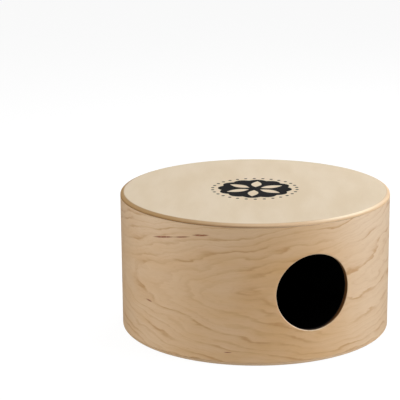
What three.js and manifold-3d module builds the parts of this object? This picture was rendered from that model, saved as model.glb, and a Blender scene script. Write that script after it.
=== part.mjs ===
// Round two-sided box drum (a lap cajon): a bent plywood shell closed by a thin plywood head at each end,
// with a round sound port in its side. One head is plain; behind the other, a bar carries two sets of
// coiled snare wires that lie against the wood. Both heads are played with the hands.
// Millimetres, +Z up. The origin is the middle of the lower head's outside face, and the port faces -Y.
import * as THREE from "three";
import { mergeVertices } from "three/addons/utils/BufferGeometryUtils.js";
import Module from "manifold-3d";

const wasm = await Module();
wasm.setup();

// ---- driving dimensions ----
const DRUM_D = 305; // across the shell and both heads: a 12 inch drum
const DRUM_H = 157.5; // over both heads
const HEAD_T = 4; // plywood of a head
const HEAD_EDGE_IN = 6; // round-over on a head's outer corner, along the face
const HEAD_EDGE_DOWN = 3.2; // the same round-over, down the edge
const SHELL_T = 7; // wall of bent plywood
const PORT_D = 84; // sound port
const RING_T = 10; // reinforcing ring, radially
const RING_H = 18; // reinforcing ring, along the drum
const GAP = 0.3; // glue line, or the fit between two pieces that touch

const BAR_W = 32; // snare bar, across
const BAR_H = 14; // snare bar, height
const BAR_BELOW_HEAD = 11; // from the snare head's inside face to the bar's top
const BLOCK_H = 14; // end block under the bar
const BLOCK_L = 37; // end block, from the wall inwards
const BLOCK_SCREW_IN = 24; // from the wall to the screws in an end block
const BLOCK_SCREW_Y = 8; // either side of the bar's middle line

const WIRES = 12; // strands in one snare set
const WIRE_PITCH = 3.6; // between two strands
const WIRE_D = 2; // outside of a strand's coil
const WIRE_OUT = 85; // from the bar's middle line to the strands' free ends
const WIRE_ROOT = 11.5; // from the bar's middle line to the strands' soldered ends

const PLATE_L = 52; // snare plate, along the bar
const PLATE_IN = 1.5; // its inner edge, from the bar's middle line
const PLATE_W = 14;
const PLATE_T = 0.8;
const FELT_T = 1.5; // pad between the bar and a snare plate
const CLAMP_W = 8; // strip that holds a snare plate down
const CLAMP_T = 2;
const CLAMP_SCREW_X = 18; // either side of the set's middle
const CLAMP_SCREW_Y = PLATE_IN + CLAMP_W / 2 + 0.5;

const BAR_SCREW = { shank_r: 2, length: 26, head_r: 4, head_h: 2.8 };
const CLAMP_SCREW = { shank_r: 1.5, length: 13, head_r: 3, head_h: 2.2 };
const WASHER = { r: 5, hole_r: 2.4, t: 1 };

const ROUND_STEPS = 96; // facets round the drum
const PORT_STEPS = 48; // facets round the port
const SCREW_STEPS = 16; // facets round a fastener
const WIRE_STEPS = 8;

// ---- derived places ----
const R = DRUM_D / 2;
const WALL_R = R - SHELL_T; // inside of the shell
const SHELL_Z0 = HEAD_T + GAP;
const SHELL_H = DRUM_H - 2 * SHELL_Z0;
const RING_R = WALL_R - GAP;
const HEAD_IN_Z = DRUM_H - HEAD_T; // inside face of the snare head
const BAR_TOP = HEAD_IN_Z - BAR_BELOW_HEAD;
const BAR_Z0 = BAR_TOP - BAR_H;
const BLOCK_TOP = BAR_Z0 - GAP;
const BLOCK_Z0 = BLOCK_TOP - BLOCK_H;
const FELT_Z0 = BAR_TOP + GAP;
const PLATE_Z0 = FELT_Z0 + FELT_T + GAP;
const CLAMP_Z0 = PLATE_Z0 + PLATE_T + GAP;
const SCREW_SEAT_Z = CLAMP_Z0 + CLAMP_T + GAP; // under the clamp screws' heads
const BLOCK_SCREW_X = WALL_R - BLOCK_SCREW_IN;

// ---- materials ----
const finish = (color, roughness, metalness = 0) => new THREE.MeshStandardMaterial({ color, roughness, metalness });
const MAPLE = finish(0xcfa981, 0.45);
const BIRCH = finish(0xdccbb1, 0.5);
const BLACK_WOOD = finish(0x14120f, 0.85);
const FELT = finish(0x3a3733, 1);
const STEEL = finish(0xb9bcc0, 0.3, 1);
const ZINC = finish(0xc9c6ba, 0.35, 1);

const drum = new THREE.Group();
drum.name = "two_sided_box_drum";

function place(name, geometry, material, x = 0, y = 0, z = 0) {
  const mesh = new THREE.Mesh(geometry, material);
  mesh.name = name;
  mesh.position.set(x, y, z);
  drum.add(mesh);
  return mesh;
}

// ---- shapes ----

// A closed outline of [radius, height] pairs, turned about +Z.
function turned(outline, steps) {
  const points = outline.map(([r, z]) => new THREE.Vector2(r, z));
  return new THREE.LatheGeometry(points, steps).rotateX(Math.PI / 2);
}

// A ring standing on z = 0.
function ring(inner, outer, height, steps) {
  const corners = [[inner, 0], [outer, 0], [outer, height], [inner, height], [inner, 0]];
  return turned(corners, steps);
}

function box(x, y, z) {
  return new THREE.BoxGeometry(x, y, z);
}

// A rod standing on z = 0.
function rod(radius, height, steps) {
  return turned([[0, 0], [radius, 0], [radius, height], [0, height]], steps);
}

// Geometry to a solid that can be cut, and back.
function solidOf(geometry) {
  const bare = new THREE.BufferGeometry().setIndex(geometry.index);
  bare.setAttribute("position", geometry.getAttribute("position"));
  const merged = mergeVertices(bare, 1e-3);
  const mesh = new wasm.Mesh({
    numProp: 3,
    vertProperties: new Float32Array(merged.attributes.position.array),
    triVerts: new Uint32Array(merged.index.array),
  });
  return new wasm.Manifold(mesh);
}

function geometryOf(solid) {
  const mesh = solid.getMesh();
  const geometry = new THREE.BufferGeometry();
  geometry.setAttribute("position", new THREE.BufferAttribute(mesh.vertProperties, 3));
  geometry.setIndex(new THREE.BufferAttribute(mesh.triVerts, 1));
  const flat = geometry.toNonIndexed();
  flat.computeVertexNormals();
  return flat;
}

// Cuts every tool from a body, all given as geometry.
function cut(body, ...tools) {
  const left = tools.reduce((solid, tool) => solid.subtract(solidOf(tool)), solidOf(body));
  return geometryOf(left);
}

// ---- shell, rings and heads ----

// The bent plywood wall, with the port bored through its front.
function shellGeometry() {
  const wall = ring(WALL_R, R, SHELL_H, ROUND_STEPS);
  const bore = new THREE.CylinderGeometry(PORT_D / 2, PORT_D / 2, 4 * SHELL_T, PORT_STEPS);
  bore.translate(0, -(R - SHELL_T / 2), SHELL_H / 2);
  return cut(wall, bore);
}

// A plywood disc, flat on z = 0 with its rounded corner at the top.
function headGeometry() {
  const arcSteps = 5;
  const outline = [[0, 0], [R, 0]];
  for (let i = 0; i <= arcSteps; i++) {
    const a = (i / arcSteps) * (Math.PI / 2);
    const r = R - HEAD_EDGE_IN + HEAD_EDGE_IN * Math.cos(a);
    outline.push([r, HEAD_T - HEAD_EDGE_DOWN + HEAD_EDGE_DOWN * Math.sin(a)]);
  }
  outline.push([0, HEAD_T]);
  return turned(outline, ROUND_STEPS);
}

function addBody() {
  place("shell", shellGeometry(), MAPLE, 0, 0, SHELL_Z0);
  place("snare_head", headGeometry(), BIRCH, 0, 0, HEAD_IN_Z);
  const lower = place("bass_head", headGeometry(), BIRCH, 0, 0, HEAD_T);
  lower.rotation.x = Math.PI; // its rounded corner points down
  const ringGeometry = ring(RING_R - RING_T, RING_R, RING_H, ROUND_STEPS);
  place("bass_side_ring", ringGeometry, BLACK_WOOD, 0, 0, SHELL_Z0);
  place("snare_side_ring", ringGeometry, BLACK_WOOD, 0, 0, SHELL_Z0 + SHELL_H - RING_H);
}

// ---- snare bar on its two end blocks ----

const blockScrewPlaces = [1, -1].flatMap((sx) => [1, -1].map((sy) => [sx * BLOCK_SCREW_X, sy * BLOCK_SCREW_Y]));

// A wooden bar across the drum, just shorter than the ring's opening, with blind holes for its screws.
function barGeometry() {
  const clearOfRing = 1.5;
  const halfLength = Math.sqrt((RING_R - RING_T) ** 2 - (BAR_W / 2) ** 2) - clearOfRing;
  const body = box(2 * halfLength, BAR_W, BAR_H).translate(0, 0, BAR_H / 2);
  const fromBelow = blockScrewPlaces.map(([x, y]) =>
    rod(BAR_SCREW.shank_r + GAP, 12, SCREW_STEPS).translate(x, y, -1));
  const fromAbove = [1, -1].flatMap((sx) => [1, -1].map((sy) =>
    rod(CLAMP_SCREW.shank_r + GAP, 11, SCREW_STEPS)
      .translate(sx * CLAMP_SCREW_X, sy * CLAMP_SCREW_Y, BAR_H - 10)));
  return cut(body, ...fromBelow, ...fromAbove);
}

// A block whose outer face follows the shell's inside, bored for two screws.
function blockGeometry(side) {
  const inner = WALL_R - BLOCK_L;
  const blank = box(BLOCK_L + SHELL_T, BAR_W, BLOCK_H);
  blank.translate(side * (inner + (BLOCK_L + SHELL_T) / 2), 0, BLOCK_H / 2);
  const inside = rod(WALL_R - GAP, BLOCK_H + 2, ROUND_STEPS).translate(0, 0, -1);
  const fitted = solidOf(blank).intersect(solidOf(inside));
  const bores = [1, -1].map((sy) =>
    rod(BAR_SCREW.shank_r + GAP, BLOCK_H + 2, SCREW_STEPS)
      .translate(side * BLOCK_SCREW_X, sy * BLOCK_SCREW_Y, -1));
  return geometryOf(bores.reduce((solid, bore) => solid.subtract(solidOf(bore)), fitted));
}

// A pan-head wood screw, standing on its point at z = 0.
function screwGeometry({ shank_r, length, head_r, head_h }) {
  const point = 2 * shank_r;
  const outline = [
    [0, 0], [shank_r * 0.3, 0], [shank_r, point], [shank_r, length], [head_r, length],
    [head_r, length + head_h * 0.45], [head_r * 0.8, length + head_h * 0.85],
    [head_r * 0.4, length + head_h], [0, length + head_h],
  ];
  return turned(outline, SCREW_STEPS);
}

function addBar() {
  place("snare_bar", barGeometry(), BLACK_WOOD, 0, 0, BAR_Z0);
  place("bar_block_right", blockGeometry(1), BLACK_WOOD, 0, 0, BLOCK_Z0);
  place("bar_block_left", blockGeometry(-1), BLACK_WOOD, 0, 0, BLOCK_Z0);
  const washer = ring(WASHER.hole_r, WASHER.r, WASHER.t, SCREW_STEPS);
  const screw = screwGeometry(BAR_SCREW);
  const washerZ0 = BLOCK_Z0 - GAP - WASHER.t;
  const seat = washerZ0 - GAP; // where a screw's head meets its washer
  blockScrewPlaces.forEach(([x, y], i) => {
    place(`bar_washer_${i + 1}`, washer, ZINC, x, y, washerZ0);
    place(`bar_screw_${i + 1}`, screw.clone().translate(0, 0, -BAR_SCREW.length).rotateX(Math.PI), ZINC, x, y, seat);
  });
}

// ---- snare sets ----

// A thin strip along the bar with a hole for each clamp screw, standing on z = 0 at y = from.
function drilledStrip(from, width, thickness) {
  const strip = box(PLATE_L, width, thickness).translate(0, from + width / 2, thickness / 2);
  const holes = [1, -1].map((sx) =>
    rod(CLAMP_SCREW.shank_r + GAP, thickness + 2, SCREW_STEPS)
      .translate(sx * CLAMP_SCREW_X, CLAMP_SCREW_Y, -1));
  return cut(strip, ...holes);
}

// One strand: a straight rod of the coil's outside size, from the plate to just under the head.
function strandGeometry() {
  const rootZ = PLATE_Z0 + PLATE_T + GAP + WIRE_D / 2;
  const tipZ = HEAD_IN_Z - GAP - WIRE_D / 2;
  const reach = WIRE_OUT - WIRE_ROOT;
  const rise = tipZ - rootZ;
  const length = Math.hypot(reach, rise);
  const strand = new THREE.CylinderGeometry(WIRE_D / 2, WIRE_D / 2, length, WIRE_STEPS);
  strand.rotateX(Math.atan2(rise, reach));
  return strand.translate(0, WIRE_ROOT + reach / 2, rootZ + rise / 2);
}

// Felt, plate, clamp strip, two screws and the strands of one set; the front set is the back one turned round.
function addSnareSet(side, turn) {
  const felt = drilledStrip(PLATE_IN, PLATE_W, FELT_T).translate(0, 0, FELT_Z0);
  const plate = drilledStrip(PLATE_IN, PLATE_W, PLATE_T).translate(0, 0, PLATE_Z0);
  const clamp = drilledStrip(PLATE_IN + 0.5, CLAMP_W, CLAMP_T).translate(0, 0, CLAMP_Z0);
  place(`felt_pad_${side}`, felt.rotateZ(turn), FELT);
  place(`snare_plate_${side}`, plate.rotateZ(turn), STEEL);
  place(`clamp_strip_${side}`, clamp.rotateZ(turn), ZINC);
  const screw = screwGeometry(CLAMP_SCREW);
  [1, -1].forEach((sx, i) => {
    const x = sx * CLAMP_SCREW_X;
    const standing = screw.clone().translate(x, CLAMP_SCREW_Y, SCREW_SEAT_Z - CLAMP_SCREW.length);
    place(`clamp_screw_${side}_${i + 1}`, standing.rotateZ(turn), ZINC);
  });
  const strand = strandGeometry();
  for (let i = 0; i < WIRES; i++) {
    const x = (i - (WIRES - 1) / 2) * WIRE_PITCH;
    const number = String(i + 1).padStart(2, "0");
    place(`snare_wire_${side}_${number}`, strand.clone().translate(x, 0, 0).rotateZ(turn), STEEL);
  }
}

addBody();
addBar();
addSnareSet("back", 0);
addSnareSet("front", Math.PI);

export default drum;
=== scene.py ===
"""Looks of a round two-sided box drum, a lap cajon.

It has a bent, maple-veneered shell with a round sound port, a thin birch plywood head glued on each end,
and inside it two rings, a snare bar and two sets of snare wires.

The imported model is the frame: every piece made here stands for one of its nodes, and lies where that
node lies. Metres, +Z up, the lower head's outside face on z = 0, the port facing -Y. Materials work
in mm.
"""

import math

import bmesh
import bpy
from mathutils import Euler, Matrix, Quaternion, Vector


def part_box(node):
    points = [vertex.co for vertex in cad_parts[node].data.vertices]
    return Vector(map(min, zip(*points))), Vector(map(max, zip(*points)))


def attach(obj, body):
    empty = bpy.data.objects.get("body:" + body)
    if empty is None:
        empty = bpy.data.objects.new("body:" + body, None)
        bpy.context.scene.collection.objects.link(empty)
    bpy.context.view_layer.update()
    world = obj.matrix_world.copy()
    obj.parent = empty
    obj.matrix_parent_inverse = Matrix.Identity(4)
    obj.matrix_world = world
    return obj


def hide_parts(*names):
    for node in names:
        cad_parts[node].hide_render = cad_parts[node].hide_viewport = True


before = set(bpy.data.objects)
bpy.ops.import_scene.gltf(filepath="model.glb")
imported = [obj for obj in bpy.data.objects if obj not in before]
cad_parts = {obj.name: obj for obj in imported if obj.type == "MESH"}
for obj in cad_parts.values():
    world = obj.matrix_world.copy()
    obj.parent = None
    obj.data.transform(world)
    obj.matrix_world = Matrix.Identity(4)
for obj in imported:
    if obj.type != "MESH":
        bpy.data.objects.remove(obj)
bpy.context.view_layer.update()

MM = 0.001
TURN = 2 * math.pi

# ---- sizes: the CAD's own boxes, and the few that a box doesn't give ----
SHELL_LOW, SHELL_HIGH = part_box("shell")
HEAD_LOW, HEAD_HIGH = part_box("snare_head")
RADIUS = SHELL_HIGH.x
HEAD_T = HEAD_HIGH.z - HEAD_LOW.z
MID_Z = (SHELL_LOW.z + SHELL_HIGH.z) / 2
WALL_T = 7 * MM  # bent plywood
PORT_R = 42 * MM
HEAD_EDGE_IN = 6 * MM  # round-over on a head's outer corner, along the face
HEAD_EDGE_DOWN = 3.2 * MM  # the same round-over, down the edge
RING_T = 10 * MM
SHELL_EDGE = 0.15 * MM  # the shell's ends are barely eased, because the heads cover them
PATCH_HALF = 62 * MM  # half the width of the stretch of shell that the port is cut in
GLUE_GAP = 0.3 * MM
BAR_HOLE_R, BAR_HOLE_DEPTH = 2.3 * MM, 11 * MM
CLAMP_HOLE_R, CLAMP_HOLE_DEPTH = 1.8 * MM, 10 * MM

ROUND_STEPS = 320  # facets round a turned piece of the drum's size
SMALL_STEPS = 32  # facets round a fastener


# ==== camera, light and floor ====

def add_camera():
    """A long lens, looking down at the drum from the left of its port."""
    data = bpy.data.cameras.new("camera")
    data.sensor_width, data.lens = 36, 137.7
    camera = bpy.data.objects.new("camera", data)
    bpy.context.scene.collection.objects.link(camera)
    camera.location = (-0.7042, -1.5312, 0.5818)
    tilt_down, heading, roll = (math.radians(d) for d in (14.55, -22.58, -0.49))
    aim = Euler((math.pi / 2 - tilt_down, 0, heading)).to_quaternion()
    camera.rotation_mode = "QUATERNION"
    camera.rotation_quaternion = aim @ Quaternion((0, 0, 1), roll)
    bpy.context.scene.camera = camera


def add_light(name, azimuth, elevation, distance, size, watts):
    """A square softbox aimed at the drum, sizes in metres. Azimuth is from -Y towards +X, in degrees."""
    data = bpy.data.lights.new(name, "AREA")
    data.shape, data.size, data.energy = "SQUARE", size, watts
    light = bpy.data.objects.new(name, data)
    bpy.context.scene.collection.objects.link(light)
    a, e = math.radians(azimuth), math.radians(elevation)
    out = Vector((math.sin(a) * math.cos(e), -math.cos(a) * math.cos(e), math.sin(e)))
    light.location = Vector((0, 0, MID_Z)) + out * distance
    light.rotation_mode = "QUATERNION"
    light.rotation_quaternion = out.to_track_quat("Z", "Y")


def add_world(strength):
    world = bpy.data.worlds.new("white_room")
    bpy.context.scene.world = world
    world.use_nodes = True
    background = world.node_tree.nodes["Background"]
    background.inputs["Color"].default_value = (1, 1, 1, 1)
    background.inputs["Strength"].default_value = strength


def add_backdrop():
    """A white sweep: a flat floor that curves up into a dome. Only the camera sees it."""
    flat_r, bend_r = 4, 2  # metres
    paint = Paint("backdrop_white")
    paint.set("Base Color", grey(0.12))
    paint.set("Roughness", 1.0)
    paint.set("Specular IOR Level", 0.0)
    paint.set("Emission Color", grey(1.0))
    paint.set("Emission Strength", 0.93)
    profile = [(0, 0), (flat_r / 2, 0), (flat_r, 0)]
    profile += arc(flat_r, bend_r, bend_r, -90, 0, 8)
    profile += arc(0, bend_r, flat_r + bend_r, 0, 90, 12)
    backdrop = Skin().turned(profile, steps=64).build("backdrop", paint)
    backdrop.visible_diffuse = backdrop.visible_glossy = backdrop.visible_shadow = False


# ==== mesh building ====

class Skin:
    """Grids of points that become one mesh. Points that meet are joined."""

    join = 2e-6  # metres

    def __init__(self):
        self.points = []
        self.faces = []
        self.paints = []

    def grid(self, rows, around=False, paint=0):
        """Quads between neighbouring rows. With around, each row's last point meets its first."""
        across = len(rows[0])
        for i in range(len(rows) - 1):
            low = len(self.points) + i * across
            for j in range(across if around else across - 1):
                k = (j + 1) % across
                self.faces.append((low + j, low + k, low + across + k, low + across + j))
                self.paints.append(paint)
        for row in rows:
            self.points.extend(row)
        return self

    def turned(self, profile, steps=ROUND_STEPS, centre=(0, 0)):
        """A profile of (radius, height) pairs, turned about an upright axis at the centre."""
        angles = [TURN * j / steps for j in range(steps)]
        offset = Vector((*centre, 0))
        rows = [[round_point(r, a, z) + offset for a in angles] for r, z in profile]
        return self.grid(rows, around=True)

    def mesh(self, name):
        mesh = bpy.data.meshes.new(name)
        mesh.from_pydata([tuple(p) for p in self.points], [], self.faces)
        mesh.polygons.foreach_set("material_index", self.paints)
        work = bmesh.new()
        work.from_mesh(mesh)
        bmesh.ops.remove_doubles(work, verts=work.verts, dist=self.join)
        bmesh.ops.recalc_face_normals(work, faces=work.faces)
        work.to_mesh(mesh)
        work.free()
        return mesh

    def build(self, name, *paints, sharp=40):
        return shown(name, self.mesh(name), *paints, sharp=sharp)


def shown(name, mesh, *paints, sharp=40):
    """An object of this mesh, smooth but for edges sharper than the given degrees."""
    numbers = [face.material_index for face in mesh.polygons]
    mesh.materials.clear()
    for paint in paints:
        mesh.materials.append(paint.material)
    mesh.polygons.foreach_set("material_index", numbers)
    mesh.shade_smooth()
    mesh.set_sharp_from_angle(angle=math.radians(sharp))
    made = bpy.data.objects.new(name, mesh)
    bpy.context.scene.collection.objects.link(made)
    return made


def stand_for(piece, slot, *nodes):
    """The piece rides on the drum and is shown in place of the nodes; slot is not used."""
    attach(piece, "root")
    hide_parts(*nodes)
    return piece


def round_point(r, angle, z):
    """Angle 0 is the port's side, -Y, and grows towards +X."""
    return Vector((r * math.sin(angle), -r * math.cos(angle), z))


def arc(centre_r, centre_z, radius, start, end, steps):
    """Profile points on an arc, between two angles in degrees: 0 is outwards, 90 is up."""
    points = []
    for i in range(steps + 1):
        a = math.radians(start + (end - start) * i / steps)
        points.append((centre_r + radius * math.cos(a), centre_z + radius * math.sin(a)))
    return points


def spread(start, end, steps):
    return [start + (end - start) * i / steps for i in range(steps + 1)]


def rounded_outline(low, high, radius, steps=4):
    """The corners of a flat rectangle from low to high, rounded, anticlockwise."""
    outline = []
    for k, (x, y) in enumerate(((high.x, high.y), (low.x, high.y), (low.x, low.y), (high.x, low.y))):
        cx = x + (radius if x == low.x else -radius)
        cy = y + (radius if y == low.y else -radius)
        outline += arc(cx, cy, radius, 90 * k, 90 * k + 90, steps)
    return outline


def prism(name, outline, low_z, high_z, edge, segments=2):
    """A flat outline pulled straight up, with its sharp edges rounded."""
    work = bmesh.new()
    base = work.faces.new([work.verts.new((x, y, low_z)) for x, y in outline])
    pulled = bmesh.ops.extrude_face_region(work, geom=[base])["geom"]
    top = [v for v in pulled if isinstance(v, bmesh.types.BMVert)]
    bmesh.ops.translate(work, verts=top, vec=(0, 0, high_z - low_z))
    bmesh.ops.recalc_face_normals(work, faces=work.faces)
    sharp = [e for e in work.edges if e.calc_face_angle(0) > math.radians(40)]
    bmesh.ops.bevel(work, geom=sharp, offset=edge, segments=segments, profile=0.5, affect="EDGES")
    mesh = bpy.data.meshes.new(name)
    work.to_mesh(mesh)
    work.free()
    return mesh


def drilled(mesh, holes):
    """The mesh with upright round holes cut in it, each given as (x, y, low z, high z, radius)."""
    drills = Skin()
    for x, y, low_z, high_z, r in holes:
        profile = [(0, low_z), (r, low_z), (r, high_z), (0, high_z)]
        drills.turned(profile, steps=SMALL_STEPS, centre=(x, y))
    body = bpy.data.objects.new(mesh.name + "_blank", mesh)
    cutter = bpy.data.objects.new(mesh.name + "_drills", drills.mesh(mesh.name + "_drills"))
    for helper in (body, cutter):
        bpy.context.scene.collection.objects.link(helper)
    cut = body.modifiers.new("holes", "BOOLEAN")
    cut.operation, cut.solver, cut.object = "DIFFERENCE", "EXACT", cutter
    bpy.context.view_layer.update()
    left = bpy.data.meshes.new_from_object(body.evaluated_get(bpy.context.evaluated_depsgraph_get()))
    for helper in (body, cutter):
        bpy.data.objects.remove(helper)
    return left


def middle(node):
    """The middle of a node's box."""
    low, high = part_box(node)
    return (low + high) / 2


# ==== node building ====

class Value:
    """A number that a node gives, with the usual arithmetic."""

    def __init__(self, paint, socket):
        self.paint, self.socket = paint, socket

    def op(self, operation, *others):
        return self.paint.math(operation, self, *others)

    def __add__(self, other):
        return self.op("ADD", other)

    def __sub__(self, other):
        return self.op("SUBTRACT", other)

    def __mul__(self, other):
        return self.op("MULTIPLY", other)

    def __truediv__(self, other):
        return self.op("DIVIDE", other)

    def __neg__(self):
        return self.op("MULTIPLY", -1.0)

    __radd__, __rmul__ = __add__, __mul__

    def __rsub__(self, other):
        return self.paint.math("SUBTRACT", other, self)

    def rise(self, low, high):
        """0 below low, 1 above high, smooth between. With high below low it falls instead."""
        if high < low:
            return 1.0 - self.rise(high, low)
        return self.paint.map_range(self, low, high)

    def band(self, low, high, soft):
        """1 between low and high, 0 outside, with soft shoulders."""
        return self.rise(low - soft, low + soft) * self.rise(high + soft, high - soft)


class Paint:
    """A material, with short calls that add its nodes."""

    def __init__(self, name):
        self.material = bpy.data.materials.new(name)
        self.material.use_nodes = True
        self.nodes = self.material.node_tree.nodes
        self.links = self.material.node_tree.links
        self.shader = self.nodes["Principled BSDF"]

    def node(self, kind, **settings):
        made = self.nodes.new(kind)
        for key, value in settings.items():
            setattr(made, key, value)
        return made

    def feed(self, socket, value):
        if isinstance(value, Value):
            self.links.new(value.socket, socket)
        else:
            socket.default_value = value

    def set(self, name, value):
        """Sets one of the shader's own sockets, to a constant or to a node's value."""
        self.feed(self.shader.inputs[name], value)

    def math(self, operation, *values):
        made = self.node("ShaderNodeMath", operation=operation)
        for socket, value in zip(made.inputs, values):
            self.feed(socket, value)
        return Value(self, made.outputs[0])

    def map_range(self, value, low, high):
        made = self.node("ShaderNodeMapRange", interpolation_type="SMOOTHSTEP")
        for socket, given in zip(made.inputs, (value, low, high, 0.0, 1.0)):
            self.feed(socket, given)
        return Value(self, made.outputs[0])

    def place(self):
        """x, y and z on the piece, in millimetres."""
        where = self.node("ShaderNodeTexCoord").outputs["Object"]
        split = self.node("ShaderNodeSeparateXYZ")
        self.links.new(where, split.inputs[0])
        return [Value(self, axis) / MM for axis in split.outputs]

    def noise(self, x, y, z=0.0, detail=2.0, roughness=0.5):
        """Noise from 0 to 1 with features about one unit across."""
        where = self.node("ShaderNodeCombineXYZ")
        for socket, value in zip(where.inputs, (x, y, z)):
            self.feed(socket, value)
        made = self.node("ShaderNodeTexNoise")
        self.links.new(where.outputs[0], made.inputs["Vector"])
        for key, value in (("Scale", 1.0), ("Detail", detail), ("Roughness", roughness)):
            made.inputs[key].default_value = value
        return Value(self, made.outputs["Fac"])

    def mix(self, share, first, second):
        """A colour between two colours."""
        made = self.node("ShaderNodeMix", data_type="RGBA")
        for number, value in ((0, share), (6, first), (7, second)):
            self.feed(made.inputs[number], value)
        return Value(self, made.outputs[2])

    def scale(self, colour, by):
        """A colour made darker or lighter by a factor."""
        made = self.node("ShaderNodeVectorMath", operation="SCALE")
        self.feed(made.inputs[0], colour)
        self.feed(made.inputs["Scale"], by)
        return Value(self, made.outputs[0])

    def bump(self, height, depth):
        """height from 0 to 1, over a depth in metres."""
        made = self.node("ShaderNodeBump")
        made.inputs["Distance"].default_value = depth
        self.feed(made.inputs["Height"], height)
        self.set("Normal", Value(self, made.outputs[0]))


def srgb(red, green, blue):
    """A colour on the 0 to 255 scale of a screen, as a node takes it."""
    parts = (c / 255 for c in (red, green, blue))
    return tuple(c / 12.92 if c <= 0.04045 else ((c + 0.055) / 1.055) ** 2.4 for c in parts) + (1,)


def grey(level):
    """A grey by its linear level, from 0 to 1."""
    return (level, level, level, 1)


# ==== materials ====

MAPLE_PALE = srgb(224, 192, 155)
MAPLE_WARM = srgb(213, 171, 120)
MAPLE_SHEEN = srgb(228, 203, 174)
MAPLE_LINE = srgb(184, 134, 79)
BARE_MAPLE_HIGHLIGHT = srgb(247, 228, 199)
MINERAL_BROWN = srgb(150, 84, 52)
STAIN_BLACK = srgb(12, 11, 10)
SCORCH_BROWN = srgb(124, 82, 42)
BIRCH_PALE = srgb(231, 214, 189)
BIRCH_WARM = srgb(225, 206, 178)
CORE_HIGHLIGHT = srgb(250, 232, 204)
CORE_LONG_GRAIN = srgb(220, 188, 152)
CORE_END_GRAIN_SHADE = srgb(180, 145, 100)
GLUE_AND_SHADE_BROWN = srgb(142, 102, 60)
INK_BLACK = srgb(13, 12, 14)
BURNT_BROWN = srgb(104, 62, 34)

# Mineral streaks in the shell's veneer, in mm: the arc from the port's middle and the height at one end,
# the same two at the other end, and the half width
STREAKS = [
    (-188, 131, -156, 136.5, 1.2),
    (-158, 136, -136, 139.5, 0.8),
    (-134, 141.5, -114, 143.5, 1.2),
    (-202, 57.5, -191, 56.5, 1.0),
    (-99, 15, -90, 15.5, 0.6),
    (150, 40, 176, 37, 0.8),
    (-330, 96, -306, 101, 0.8),
]
HEART_HEIGHT = 80  # mm, where the loops of the veneer's figure have their tips
ISLAND_ARC = -112  # mm from the port's middle, where the figure swells into an island
RING_RUN = 62  # how far growth() counts between two growth lines


def veneer_place(paint):
    """The shell's surface laid flat: the arc from the port's middle, the height and the depth, in mm."""
    x, y, z = paint.place()
    reach = paint.math("SQRT", x * x + y * y)
    arc_length = paint.math("ARCTAN2", x, -y) * (RADIUS / MM)
    return arc_length, z, RADIUS / MM - reach


def growth(paint, u, v):
    """Growth rings of flat-cut veneer, one unit to a ring: nested loops that open to the right."""
    axis = HEART_HEIGHT + (u - 30).op("MAXIMUM", 0.0) * 0.12
    off = v - axis
    flank = (paint.math("SQRT", off * off + 100) - 10) * 3.5 + off * off * 0.036
    near = (u - ISLAND_ARC) / 24
    island = paint.math("EXPONENT", near * near * -1.0 - off * off / 260)
    sway = paint.noise(u / 75, v / 36, 0.4, detail=0.0) - 0.5
    wiggle = paint.noise(u / 28, v / 14, 3.0, detail=0.0) - 0.5
    jitter = paint.noise(u / 16, v / 3.5, 5.0, detail=2.0) - 0.5
    wave = paint.noise(u / 50, v / 28, 6.0, detail=0.0) - 0.5
    run = u * 0.4 + u.op("MINIMUM", 10.0) + island * 40
    return (run - flank + sway * 100 + wave * 70 + wiggle * 62 + jitter * 42) / RING_RUN


def veneer(paint, u, v, fibre):
    """The lacquered veneer's colour, and its growth lines from 0 to 1. The colour carries a painted
    sheen: paler and whiter towards +X from the port and towards the top.
    """
    rings = growth(paint, u, v)
    phase = paint.math("FRACT", rings)
    line = (phase.rise(0.0, 0.82) * 0.3 + phase.rise(0.55, 0.82) * 0.7) * phase.rise(1.0, 0.83)
    strong = paint.noise(paint.math("FLOOR", rings) * 0.73, u / 110, 2.0, detail=0.0).rise(0.35, 0.65)
    patchy = paint.noise(u / 30, v / 11, 7.0, detail=1.0).rise(0.35, 0.65)
    fleck = paint.noise(u / 9, v / 1.1, 5.0, detail=1.0).rise(0.62, 0.78)
    tone = paint.noise(u / 55, v / 16, 9.0, detail=3.0)
    broad = (u + 38) / 85
    heart = paint.math("EXPONENT", broad * broad * -1.0)
    colour = paint.mix(tone.rise(0.25, 0.75) * 0.4 + heart * 0.62, MAPLE_PALE, MAPLE_WARM)
    # painted sheen: the veneer is made paler and whiter towards +X from the port, where the key and side
    # lights fall, and towards the top
    painted_sheen = (u.rise(-10.0, 90.0) + v.rise(105.0, 150.0) * 0.35) * v.rise(-110.0, 120.0)
    colour = paint.mix(painted_sheen * 0.8, colour, MAPLE_SHEEN)
    colour = paint.mix(line * (patchy * 0.7 + 0.3) * (strong * 0.54 + 0.16), colour, MAPLE_LINE)
    between = paint.math("FRACT", rings * 2.3 + 0.2)
    fine_line = between.rise(0.5, 0.85) * between.rise(1.0, 0.85) * (1.1 - patchy)
    colour = paint.mix(fine_line * 0.11, colour, MAPLE_LINE)
    colour = paint.mix(fleck * 0.2, colour, MAPLE_LINE)
    return paint.scale(colour, 0.95 + fibre * 0.1), line


def port_wall(paint, u, v, depth, colour):
    """The colour with the port's cut wall in it: bare wood made pale as a painted highlight, then
    scorched, then black, and how black it is.
    """
    across = u * (MM / PORT_R)  # -1 and 1 are the left and right of the port
    right = across.rise(0.1, 1.0) * across.rise(1.8, 1.4)
    # bare cut wood on the port's rounded outer edge, painted paler than the veneer as a highlight:
    # strongest on the -X side, fading out on the +X side
    colour = paint.mix(depth.rise(0.1, 0.45) * (0.85 - right * 0.8), colour, BARE_MAPLE_HIGHLIGHT)
    stain = depth + (paint.noise(u / 3, v / 3, 2.0) - 0.5) * 0.5
    scorch = (stain + right * depth.rise(0.05, 0.3) * 1.5).rise(0.9, 2.0)
    colour = paint.mix(scorch, colour, SCORCH_BROWN)
    black = (stain - right * 2.0).rise(1.4, 4.0)
    return paint.mix(black, colour, STAIN_BLACK), black


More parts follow.
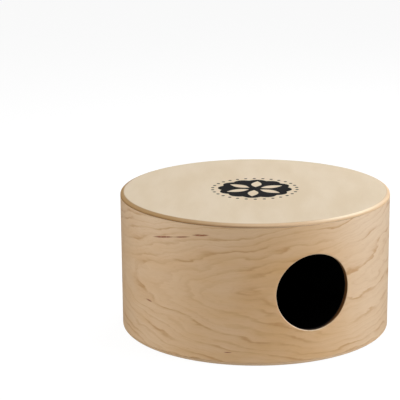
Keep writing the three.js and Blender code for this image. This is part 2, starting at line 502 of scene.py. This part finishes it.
def maple_shell():
    """Clear-lacquered maple veneer with its streaks, its joint at the back and the wall of the port."""
    paint = Paint("maple_shell")
    u, v, depth = veneer_place(paint)
    fibre = paint.noise(u / 14, v / 0.55, 1.0, detail=3.0)
    colour, line = veneer(paint, u, v, fibre)
    for streak in STREAKS:
        colour = paint.mix(streak_mask(paint, u, v, *streak), colour, MINERAL_BROWN)
    seam = (paint.math("ABSOLUTE", u) - math.pi * RADIUS / MM).op("ABSOLUTE")
    colour = paint.mix(seam.rise(0.35, 0.1) * 0.7, colour, GLUE_AND_SHADE_BROWN)
    colour, black = port_wall(paint, u, v, depth, colour)
    paint.set("Base Color", colour)
    paint.set("Roughness", 0.36 + fibre * 0.12 + black * 0.45)
    paint.bump(fibre * 0.6 + line * 0.1, 0.02 * MM)
    return paint


def streak_mask(paint, u, v, u0, v0, u1, v1, half_width):
    """1 along a short line on the veneer, fading at its sides and its tapered ends."""
    length = math.hypot(u1 - u0, v1 - v0)
    cu, cv = (u1 - u0) / length, (v1 - v0) / length
    along = (u - (u0 + u1) / 2) * cu + (v - (v0 + v1) / 2) * cv
    across = (v - (v0 + v1) / 2) * cu - (u - (u0 + u1) / 2) * cv
    aside, ahead = across / half_width, along / (length / 2)
    far = aside * aside + ahead * ahead
    broken = paint.noise(u / 4, v / 2, 8.0).rise(0.1, 0.55)
    return far.rise(1.3, 0.1) * broken


def birch_head(name, face_z, up, mark, end_grain_and_shade, glue_and_shade):
    """Pale birch plywood: a face veneer over a core that is brown where its end grain meets the edge.
    The edge also carries painted light: paler as a painted highlight on the side facing the key light,
    browner as painted shade on the side away from it, and a dark line at the joint that is partly glue,
    partly painted shade.

    mark paints the face. end_grain_and_shade and glue_and_shade are how strongly the core's end grain
    with its painted shade, and the joint with the shell with its painted shade, show, from 0 to 1.
    """
    paint = Paint(name)
    x, y, z = paint.place()
    depth = (face_z / MM - z) * up
    core_turn = math.radians(-25)  # the core's grain, from the X axis
    with_core = x * math.cos(core_turn) + y * math.sin(core_turn)
    with_face = y * math.cos(core_turn) - x * math.sin(core_turn)
    tone = paint.noise(with_core / 34, with_face / 120, detail=3.0)
    fibre = paint.noise(with_core / 0.7, with_face / 16, 4.0, detail=3.0)
    face = paint.mix(tone.rise(0.3, 0.7), BIRCH_PALE, BIRCH_WARM)
    face = paint.scale(face, 0.965 + fibre * 0.07)
    reach = paint.math("SQRT", x * x + y * y)
    side = with_core / (reach + 1.0)
    layers = paint.noise(with_core / 6, with_face / 6, z / 0.35, detail=2.0)
    # painted highlight: the core's edge is made paler on the side facing the key light
    painted_highlight = side.rise(0.3, 0.62) * side.rise(1.1, 0.7) * depth.rise(2.4, 0.8)
    core = paint.mix(painted_highlight, CORE_LONG_GRAIN, CORE_HIGHLIGHT)
    # brown where the core's end grain shows, darkened further as painted shade on the side away from the
    # key light
    core = paint.mix(side.rise(0.1, -0.7) * end_grain_and_shade, core, CORE_END_GRAIN_SHADE)
    core = paint.scale(core, 0.92 + layers * 0.16)
    colour = paint.mix(depth.rise(0.1, 0.4), face, core)
    colour = paint.mix(depth.band(0.15, 0.3, 0.1) * 0.25, colour, GLUE_AND_SHADE_BROWN)
    colour = mark(paint, colour, x, y, depth)
    # dark line at the joint with the shell: partly glue, partly painted shade, fading out on the side
    # facing the key light
    joint = depth.rise(1.4, 3.4) * side.rise(0.5, -0.1) * reach.rise(150, 151.5)
    colour = paint.mix(joint * glue_and_shade, colour, GLUE_AND_SHADE_BROWN)
    black = depth.rise(3.85, 3.95) * reach.rise(147, 144)  # the face inside the drum
    paint.set("Base Color", paint.mix(black, colour, STAIN_BLACK))
    paint.set("Roughness", 0.6 + fibre * 0.1 + black * 0.2)
    paint.set("Specular IOR Level", 0.08)
    paint.bump(fibre * 0.7 + tone * 0.3, 0.02 * MM)
    return paint


def petals(paint, x, y, count, inner, outer, half_width):
    """1 inside a rosette of lens-shaped petals, between two radii in mm."""
    reach = paint.math("SQRT", x * x + y * y)
    turn = paint.math("FRACT", paint.math("ARCTAN2", y, x) * (count / TURN) + 0.5) - 0.5
    aside = turn.op("ABSOLUTE") * reach * (TURN / count)
    way = (reach - inner) / (outer - inner)
    lens = paint.math("SINE", way.op("MAXIMUM", 0.0).op("MINIMUM", 1.0) * math.pi)
    return (lens * half_width - aside).rise(0.0, 0.5)


def dots(paint, x, y, count, radius, dot_r):
    """1 inside each of the round dots that are spaced evenly round a circle. Radii in mm."""
    reach = paint.math("SQRT", x * x + y * y)
    turn = paint.math("FRACT", paint.math("ARCTAN2", y, x) * (count / TURN)) - 0.5
    aside = turn * (TURN / count) * radius
    out = reach - radius
    return paint.math("SQRT", aside * aside + out * out).rise(dot_r + 0.2, dot_r - 0.2)


def printed_rosette(paint, colour, x, y, depth):
    """Black ink in the middle of the head: a scalloped disc, a flower left open in it, dots around it."""
    reach = paint.math("SQRT", x * x + y * y)
    scallop = (paint.math("ARCTAN2", y, x) * 6).op("COSINE").op("ABSOLUTE")
    disc = (reach - scallop * 4).rise(38.4, 37.9)
    flower = petals(paint, x, y, 6, 7, 35, 6.2)
    ink = disc * (1.0 - flower) + dots(paint, x, y, 30, 48, 1.9)
    return paint.mix(ink * depth.rise(0.3, 0.1), colour, INK_BLACK)


def burnt_mark(paint, colour, x, y, depth):
    """A small mark burnt into the plain head: a flower ringed with dots, lozenges on either side."""
    ring = dots(paint, x, y, 20, 20.5, 1.3)
    flower = petals(paint, x, y, 6, 2, 16, 3.2)
    step = paint.math("FRACT", x / 8) - 0.5
    size = step.op("ABSOLUTE") * 8 + y.op("ABSOLUTE") * 0.9
    lozenges = size.rise(2.4, 1.9) * x.op("ABSOLUTE").band(32, 64, 0.1)
    burn = ring + flower + lozenges
    uneven = 0.7 + paint.noise(x / 3, y / 3, 1.0) * 0.3
    return paint.mix(burn * uneven * depth.rise(0.3, 0.1), colour, BURNT_BROWN)


def black_wood():
    """Matt black stain on plain wood: the grain shows in the sheen."""
    paint = Paint("black_wood")
    x, y, z = paint.place()
    grain = paint.noise(x / 14, y / 1.2, z / 1.2, detail=3.0)
    worn = paint.noise(x / 9, y / 9, z / 9, detail=3.0)
    paint.set("Base Color", paint.mix(grain.rise(0.35, 0.75) * worn, STAIN_BLACK, srgb(30, 26, 22)))
    paint.set("Roughness", 0.7 + grain * 0.25)
    paint.set("Specular IOR Level", 0.12)
    paint.bump(grain, 0.05 * MM)
    return paint


def metal(name, colour, roughness, fine):
    """Bare or plated steel, rubbed along one way, with a little unevenness in its colour."""
    paint = Paint(name)
    x, y, z = paint.place()
    rubbed = paint.noise(x / fine, y / (fine * 8), z / fine, detail=2.0)
    cloudy = paint.noise(x / 4, y / 4, z / 4, 2.0)
    dull = tuple(c * 0.8 for c in colour[:3]) + (1,)
    paint.set("Base Color", paint.mix(cloudy.rise(0.35, 0.7), colour, dull))
    paint.set("Metallic", 1.0)
    paint.set("Roughness", roughness + rubbed * 0.15)
    paint.bump(rubbed, 0.004 * MM)
    return paint


def felt():
    """Dark grey pressed felt."""
    paint = Paint("felt")
    x, y, z = paint.place()
    fuzz = paint.noise(x / 0.35, y / 0.35, z / 0.35, detail=4.0, roughness=0.7)
    clumps = paint.noise(x / 2.5, y / 2.5, z / 2.5, detail=2.0)
    paint.set("Base Color", paint.mix(fuzz * 0.6 + clumps * 0.4, srgb(36, 34, 32), srgb(84, 80, 75)))
    paint.set("Roughness", 1.0)
    paint.set("Sheen Weight", 0.4)
    paint.bump(fuzz, 0.3 * MM)
    return paint


# ==== shell, heads and rings ====

def shell_levels():
    """Heights up the shell between its two eased ends: one step close to each end, the others even."""
    support, steps = 1.0 * MM, 44
    low, high = SHELL_LOW.z + SHELL_EDGE, SHELL_HIGH.z - SHELL_EDGE
    return [low, *spread(low + support, high - support, steps), high]


def port_patch(patch_angle, levels, steps_across):
    """Angle and height of each point round the patch that holds the port, anticlockwise from outside."""
    angles = spread(-patch_angle, patch_angle, steps_across)
    right = [(patch_angle, z) for z in levels[:-1]]
    top = [(a, levels[-1]) for a in reversed(angles[1:])]
    left = [(-patch_angle, z) for z in reversed(levels[1:])]
    bottom = [(a, levels[0]) for a in angles[:-1]]
    return right + top + left + bottom


def port_ring(radius, surface_r, turns, sink):
    """A ring of points round the port's axis, on a cylinder of radius surface_r, moved in by sink."""
    ring = []
    for t in turns:
        x, z = radius * math.cos(t), MID_Z + radius * math.sin(t)
        ring.append(Vector((x, sink - math.sqrt(surface_r ** 2 - x ** 2), z)))
    return ring


def port_face(border, turns, surface_r, hole_r):
    """Rings of points on one face of the wall, from the port's edge out to the patch's border."""
    rows = []
    for share in (0, 0.015, 0.05, 0.12, 0.22, 0.35, 0.5, 0.66, 0.82, 0.95, 1):
        row = []
        for (angle, z), t in zip(border, turns):
            edge_angle = math.asin(hole_r * math.cos(t) / surface_r)
            edge_z = MID_Z + hole_r * math.sin(t)
            point_angle = edge_angle + (angle - edge_angle) * share
            row.append(round_point(surface_r, point_angle, edge_z + (z - edge_z) * share))
        rows.append(row)
    return rows


def port_edge(turns, surface_r, radius, inwards):
    """Rings over the port's rounded edge, from a face of the wall to the bore.

    inwards is 1 on the outside face and -1 on the inside one.
    """
    rows = []
    for a in spread(0, math.pi / 2, 7):
        reach = PORT_R + radius * (1 - math.sin(a))
        rows.append(port_ring(reach, surface_r, turns, inwards * radius * (1 - math.cos(a))))
    return rows


def make_shell(outside, inside):
    """The bent wall: a patch with the port in it, the rest of both faces, and the two eased ends."""
    inner_r = RADIUS - WALL_T
    patch_angle = PATCH_HALF / RADIUS
    levels = shell_levels()
    across = 36
    border = port_patch(patch_angle, levels, across)
    turns = [math.atan2(z - MID_Z, angle * RADIUS) for angle, z in border]
    skin = Skin()
    outer_edge, inner_edge = 1.3 * MM, 0.8 * MM
    skin.grid(port_face(border, turns, RADIUS, PORT_R + outer_edge), around=True)
    skin.grid(port_face(border, turns, inner_r, PORT_R + inner_edge), around=True, paint=1)
    outer = port_edge(turns, RADIUS, outer_edge, 1)
    inner = port_edge(turns, inner_r, inner_edge, -1)
    skin.grid(outer, around=True).grid(inner, around=True, paint=1)
    bore = [[a.lerp(b, k) for a, b in zip(outer[-1], inner[-1])] for k in (0, 0.3, 0.6, 0.95, 1)]
    skin.grid(bore[:4], around=True).grid(bore[3:], around=True, paint=1)
    rest = spread(patch_angle, TURN - patch_angle, 264)
    for paint, r in enumerate((RADIUS, inner_r)):
        skin.grid([[round_point(r, a, z) for a in rest] for z in levels], paint=paint)
    columns = spread(-patch_angle, patch_angle, across) + rest[1:]
    for end_z, up in ((SHELL_LOW.z, -1), (SHELL_HIGH.z, 1)):
        corner_z = end_z - up * SHELL_EDGE
        outer_corner = arc(RADIUS - SHELL_EDGE, corner_z, SHELL_EDGE, 0, 90 * up, 3)
        inner_corner = arc(inner_r + SHELL_EDGE, corner_z, SHELL_EDGE, 90 * up, 180 * up, 3)
        skin.grid([[round_point(r, a, z) for a in columns] for r, z in outer_corner + inner_corner])
    stand_for(skin.build("shell_skin", outside, inside), "maple_shell", "shell")


def make_head(name, node, face_z, up, paint):
    """A plywood disc with its outer corner rounded over."""
    back_z = face_z - up * HEAD_T
    small = 0.1 * MM
    corner = []
    for turn in spread(0, math.pi / 2, 14):
        fall = HEAD_EDGE_DOWN * (1 - math.sin(turn))
        corner.append((RADIUS - HEAD_EDGE_IN * (1 - math.cos(turn)), face_z - up * fall))
    back_corner = arc(RADIUS - small, back_z + up * small, small, -90 * up, 0, 3)
    flat = [(RADIUS - HEAD_EDGE_IN) * k for k in (0.995, 0.93, 0.8, 0.65, 0.5, 0.35, 0.2, 0.08, 0)]
    profile = [(r, back_z) for r in reversed(flat)] + back_corner + corner + [(r, face_z) for r in flat]
    stand_for(Skin().turned(profile).build(name, paint), "birch_head", node)


def rounded_ring(inner, outer, low, high, edge, steps=3):
    """The closed profile of a ring with rounded corners."""
    in_r, out_r, low_z, high_z = inner + edge, outer - edge, low + edge, high - edge
    profile = []
    for k, (r, z) in enumerate(((out_r, high_z), (in_r, high_z), (in_r, low_z), (out_r, low_z))):
        profile += arc(r, z, edge, 90 * k, 90 * k + 90, steps)
    return profile + profile[:1]


def make_ring(node, paint):
    """A reinforcing ring between the shell and a head."""
    low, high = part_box(node)
    profile = rounded_ring(high.x - RING_T, high.x, low.z, high.z, 1.0 * MM)
    stand_for(Skin().turned(profile).build(node + "_wood", paint), "black_wood", node)


# ==== snare bar and its fasteners ====

BAR_SCREWS = [f"bar_screw_{i}" for i in (1, 2, 3, 4)]
CLAMP_SCREWS = [f"clamp_screw_{side}_{i}" for side in ("back", "front") for i in (1, 2)]


def screw_holes(names, radius, low_z, high_z):
    """A hole for each of the screws, as drilled() takes it."""
    return [(middle(n).x, middle(n).y, low_z, high_z, radius) for n in names]


def make_bar(paint):
    """The bar, its edges eased, with blind holes for the screws from below and above."""
    low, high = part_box("snare_bar")
    outline = rounded_outline(low, high, 2 * MM)
    mesh = prism("snare_bar_wood", outline, low.z, high.z, 0.9 * MM, segments=3)
    from_below = screw_holes(BAR_SCREWS, BAR_HOLE_R, low.z - MM, low.z + BAR_HOLE_DEPTH)
    from_above = screw_holes(CLAMP_SCREWS, CLAMP_HOLE_R, high.z - CLAMP_HOLE_DEPTH, high.z + MM)
    piece = shown("snare_bar_wood", drilled(mesh, from_below + from_above), paint)
    stand_for(piece, "black_wood", "snare_bar")


def make_block(side, paint):
    """An end block: straight inside, round against the shell, bored for two screws."""
    node = "bar_block_" + side
    low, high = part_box(node)
    sign = 1 if low.x > 0 else -1
    inner_x = low.x if sign > 0 else high.x
    outer_r, half_w = RADIUS - WALL_T - GLUE_GAP, high.y
    swing = math.asin(half_w / outer_r)
    outline = [(outer_r * math.cos(a), outer_r * math.sin(a)) for a in spread(-swing, swing, 10)]
    outline += [(abs(inner_x), half_w), (abs(inner_x), -half_w)]
    if sign < 0:
        outline = [(-x, y) for x, y in reversed(outline)]
    mesh = prism(node + "_wood", outline, low.z, high.z, 0.8 * MM)
    screws = [n for n in BAR_SCREWS if middle(n).x * sign > 0]
    holes = screw_holes(screws, BAR_HOLE_R, low.z - MM, high.z + MM)
    stand_for(shown(node + "_wood", drilled(mesh, holes), paint), "black_wood", node)


def thread_radius(z, turn, shank_r, pitch, point, plain_from):
    """Radius of a wood screw at a height above its point: a cut thread, then a plain shank."""
    core = 0.7 * shank_r
    if z > plain_from:
        return core + (shank_r - core) * 0.7
    phase = (z / pitch - turn / TURN) % 1
    ridge = max(0.0, 1 - abs(phase - 0.5) / 0.24)
    taper = min(1.0, 0.08 + 0.92 * z / point)
    return (core + (shank_r - core) * ridge) * taper


def recess_depth(r, angle, head_r):
    """Depth of a cross recess in a screw's head."""
    x, y = abs(r * math.cos(angle)), abs(r * math.sin(angle))
    wing, reach = 0.13 * head_r, 0.56 * head_r
    inside = min(x, y) < wing and max(x, y) < reach
    return 0.34 * head_r * (1 - 0.45 * max(x, y) / reach) if inside else 0.0


def screw_skin(shank_r, length, head_r, head_h, steps=40):
    """A pan-head wood screw with a cross recess, standing on its point at z = 0."""
    angles = [TURN * j / steps for j in range(steps)]
    pitch = 0.45 * 2 * shank_r
    rows = [[Vector((0, 0, 0))] * steps]
    for z in spread(0.05 * MM, length - 0.3 * MM, int(length / pitch * 9)):
        radii = [thread_radius(z, a, shank_r, pitch, 2 * shank_r, 0.8 * length) for a in angles]
        rows.append([round_point(r, a, z) for r, a in zip(radii, angles)])
    lip = 0.25 * head_h
    rim = [(shank_r * 0.95, length), (head_r - 0.1 * MM, length)]
    rim += arc(head_r - lip, length + lip, lip, -60, 30, 3)
    rows += [[round_point(r, a, z) for a in angles] for r, z in rim]
    for share in spread(0.88, 0, 22):
        r = head_r * share
        dome = length + head_h * math.sqrt(1 - 0.75 * share ** 2)
        rows.append([round_point(r, a, dome - recess_depth(r, a, head_r)) for a in angles])
    return Skin().grid(rows, around=True)


def make_screws(nodes, paint, shank_r, head_r, head_h, head_down):
    """Screws of one size, each turned a little differently."""
    low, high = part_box(nodes[0])
    length = high.z - low.z - head_h
    mesh = screw_skin(shank_r, length, head_r, head_h).mesh(nodes[0] + "_steel")
    for i, node in enumerate(nodes):
        low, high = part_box(node)
        piece = shown(node + "_steel", mesh.copy(), paint, sharp=30)
        turn = Matrix.Rotation(0.7 + 1.9 * i, 4, "Z")
        flip = Matrix.Rotation(math.pi, 4, "X") if head_down else Matrix.Identity(4)
        at = Vector((middle(node).x, middle(node).y, high.z if head_down else low.z))
        piece.data.transform(Matrix.Translation(at) @ flip @ turn)
        stand_for(piece, "zinc_steel", node)


def make_washer(node, paint):
    """A flat washer with its edges rounded."""
    low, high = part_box(node)
    hole_r = 2.4 * MM
    profile = rounded_ring(hole_r, (high.x - low.x) / 2, low.z, high.z, 0.25 * MM, steps=2)
    skin = Skin().turned(profile, steps=SMALL_STEPS, centre=middle(node).xy)
    stand_for(skin.build(node + "_steel", paint), "zinc_steel", node)


# ==== snare sets ====

COIL_STEPS, WIRE_SIDES = 12, 6  # points to a turn of a strand, and round its wire


def make_strip(node, slot_name, corner, edge, paint, extra=None):
    """A plate, a clamp strip or a felt pad, with two screw holes. extra is a mesh joined to it."""
    low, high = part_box(node)
    screws = [n for n in CLAMP_SCREWS if ("back" if low.y > 0 else "front") in n]
    holes = screw_holes(screws, CLAMP_HOLE_R, low.z - MM, high.z + MM)
    mesh = drilled(prism(node + "_skin", rounded_outline(low, high, corner), low.z, high.z, edge), holes)
    if extra:
        joined = bmesh.new()
        joined.from_mesh(mesh)
        joined.from_mesh(extra)
        joined.to_mesh(mesh)
        joined.free()
    return stand_for(shown(node + "_skin", mesh, paint), slot_name, node)


def solder_line(side):
    """The bead of solder that holds a set's strands to its plate."""
    plate_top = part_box("snare_plate_" + side)[1].z
    ends = [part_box(f"snare_wire_{side}_{n}") for n in ("01", "12")]
    left, right = min(box[0].x for box in ends), max(box[1].x for box in ends)
    width, spare = 2.4 * MM, 0.4 * MM
    first_low, first_high = ends[0]
    start = first_low.y if side == "back" else first_high.y - width
    bead_low = Vector((left - spare, start, plate_top - 0.1 * MM))
    bead_high = Vector((right + spare, start + width, plate_top + 0.9 * MM))
    outline = rounded_outline(bead_low, bead_high, 0.8 * MM)
    return prism("solder", outline, bead_low.z, bead_high.z, 0.35 * MM, segments=3)


def make_strand(node, paint):
    """One coiled snare strand, from its plate to just under the head."""
    low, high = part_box(node)
    coil_r, wire_r, pitch = 1.0 * MM, 0.24 * MM, 1.15 * MM
    sign = 1 if low.y > 0 else -1
    start_y, end_y = (low.y, high.y) if sign > 0 else (high.y, low.y)
    start = Vector((middle(node).x, start_y + sign * wire_r, low.z + coil_r))
    end = Vector((middle(node).x, end_y - sign * wire_r, high.z - coil_r))
    along = (end - start).normalized()
    across = Vector((1, 0, 0))
    up = along.cross(across)
    helix_r = coil_r - wire_r
    turns = (end - start).length / pitch
    steps = round(turns * COIL_STEPS)
    round_wire = [TURN * k / WIRE_SIDES for k in range(WIRE_SIDES)]
    rows = []
    for i in range(steps + 1):
        a = TURN * turns * i / steps
        outward = across * math.cos(a) + up * math.sin(a)
        centre = start.lerp(end, i / steps) + outward * helix_r
        heading = (across * -math.sin(a) + up * math.cos(a)) * (TURN * helix_r) + along * pitch
        side_way = heading.normalized().cross(outward)
        section = [centre + (outward * math.cos(b) + side_way * math.sin(b)) * wire_r for b in round_wire]
        tip = [[centre] * WIRE_SIDES]
        rows += (tip if i == 0 else []) + [section] + (tip if i == steps else [])
    coil = Skin().grid(rows, around=True).build(node + "_coil", paint, sharp=75)
    stand_for(coil, "snare_wire_steel", node)


# ==== camera, light and floor first, then the pieces ====

SOFTBOX_AWAY, SOFTBOX_SIZE = 1.6, 0.9  # metres
SOFTBOXES = [  # name, azimuth and elevation in degrees, watts
    ("key_front_right", 45, 20, 16),
    ("side_right", 75, 20, 6.3),
    ("fill_front_left", -45, 20, 6.9),
    ("side_left", -105, 13, 11.4),
    ("back_right", 135, 50, 11),
    ("overhead", 0, 89, 3.4),
]

add_camera()
add_world(0.1)
for light_name, azimuth, elevation, watts in SOFTBOXES:
    add_light(light_name, azimuth, elevation, SOFTBOX_AWAY, SOFTBOX_SIZE, watts)
add_light("floor_bounce", -10, -60, 0.5, 1.0, 1.35)
add_backdrop()

maple = maple_shell()
snare_birch = birch_head("birch_snare_head", HEAD_HIGH.z, 1, printed_rosette, 0.95, 0.65)
bass_birch = birch_head("birch_bass_head", 0.0, -1, burnt_mark, 0.3, 0.1)
stained = black_wood()
make_shell(maple, stained)
make_head("snare_head_ply", "snare_head", HEAD_HIGH.z, 1, snare_birch)
make_head("bass_head_ply", "bass_head", 0.0, -1, bass_birch)
for ring_node in ("snare_side_ring", "bass_side_ring"):
    make_ring(ring_node, stained)

zinc = metal("zinc_steel", srgb(198, 192, 176), 0.32, 0.5)
plate_steel = metal("plate_steel", srgb(178, 180, 184), 0.3, 0.6)
wire_steel = metal("snare_wire_steel", srgb(190, 192, 196), 0.24, 0.4)
pad_felt = felt()
make_bar(stained)
for end in ("left", "right"):
    make_block(end, stained)
make_screws(BAR_SCREWS, zinc, shank_r=2 * MM, head_r=4 * MM, head_h=2.8 * MM, head_down=True)
make_screws(CLAMP_SCREWS, zinc, shank_r=1.5 * MM, head_r=3 * MM, head_h=2.2 * MM, head_down=False)
for i in (1, 2, 3, 4):
    make_washer(f"bar_washer_{i}", zinc)
for side in ("back", "front"):
    make_strip("felt_pad_" + side, "felt", 1.2 * MM, 0.35 * MM, pad_felt)
    make_strip("snare_plate_" + side, "plate_steel", 1.5 * MM, 0.12 * MM, plate_steel, solder_line(side))
    make_strip("clamp_strip_" + side, "zinc_steel", 1.5 * MM, 0.3 * MM, zinc)
    for number in range(1, 13):
        make_strand(f"snare_wire_{side}_{number:02d}", wire_steel)

bpy.context.scene.view_settings.view_transform = "Standard"
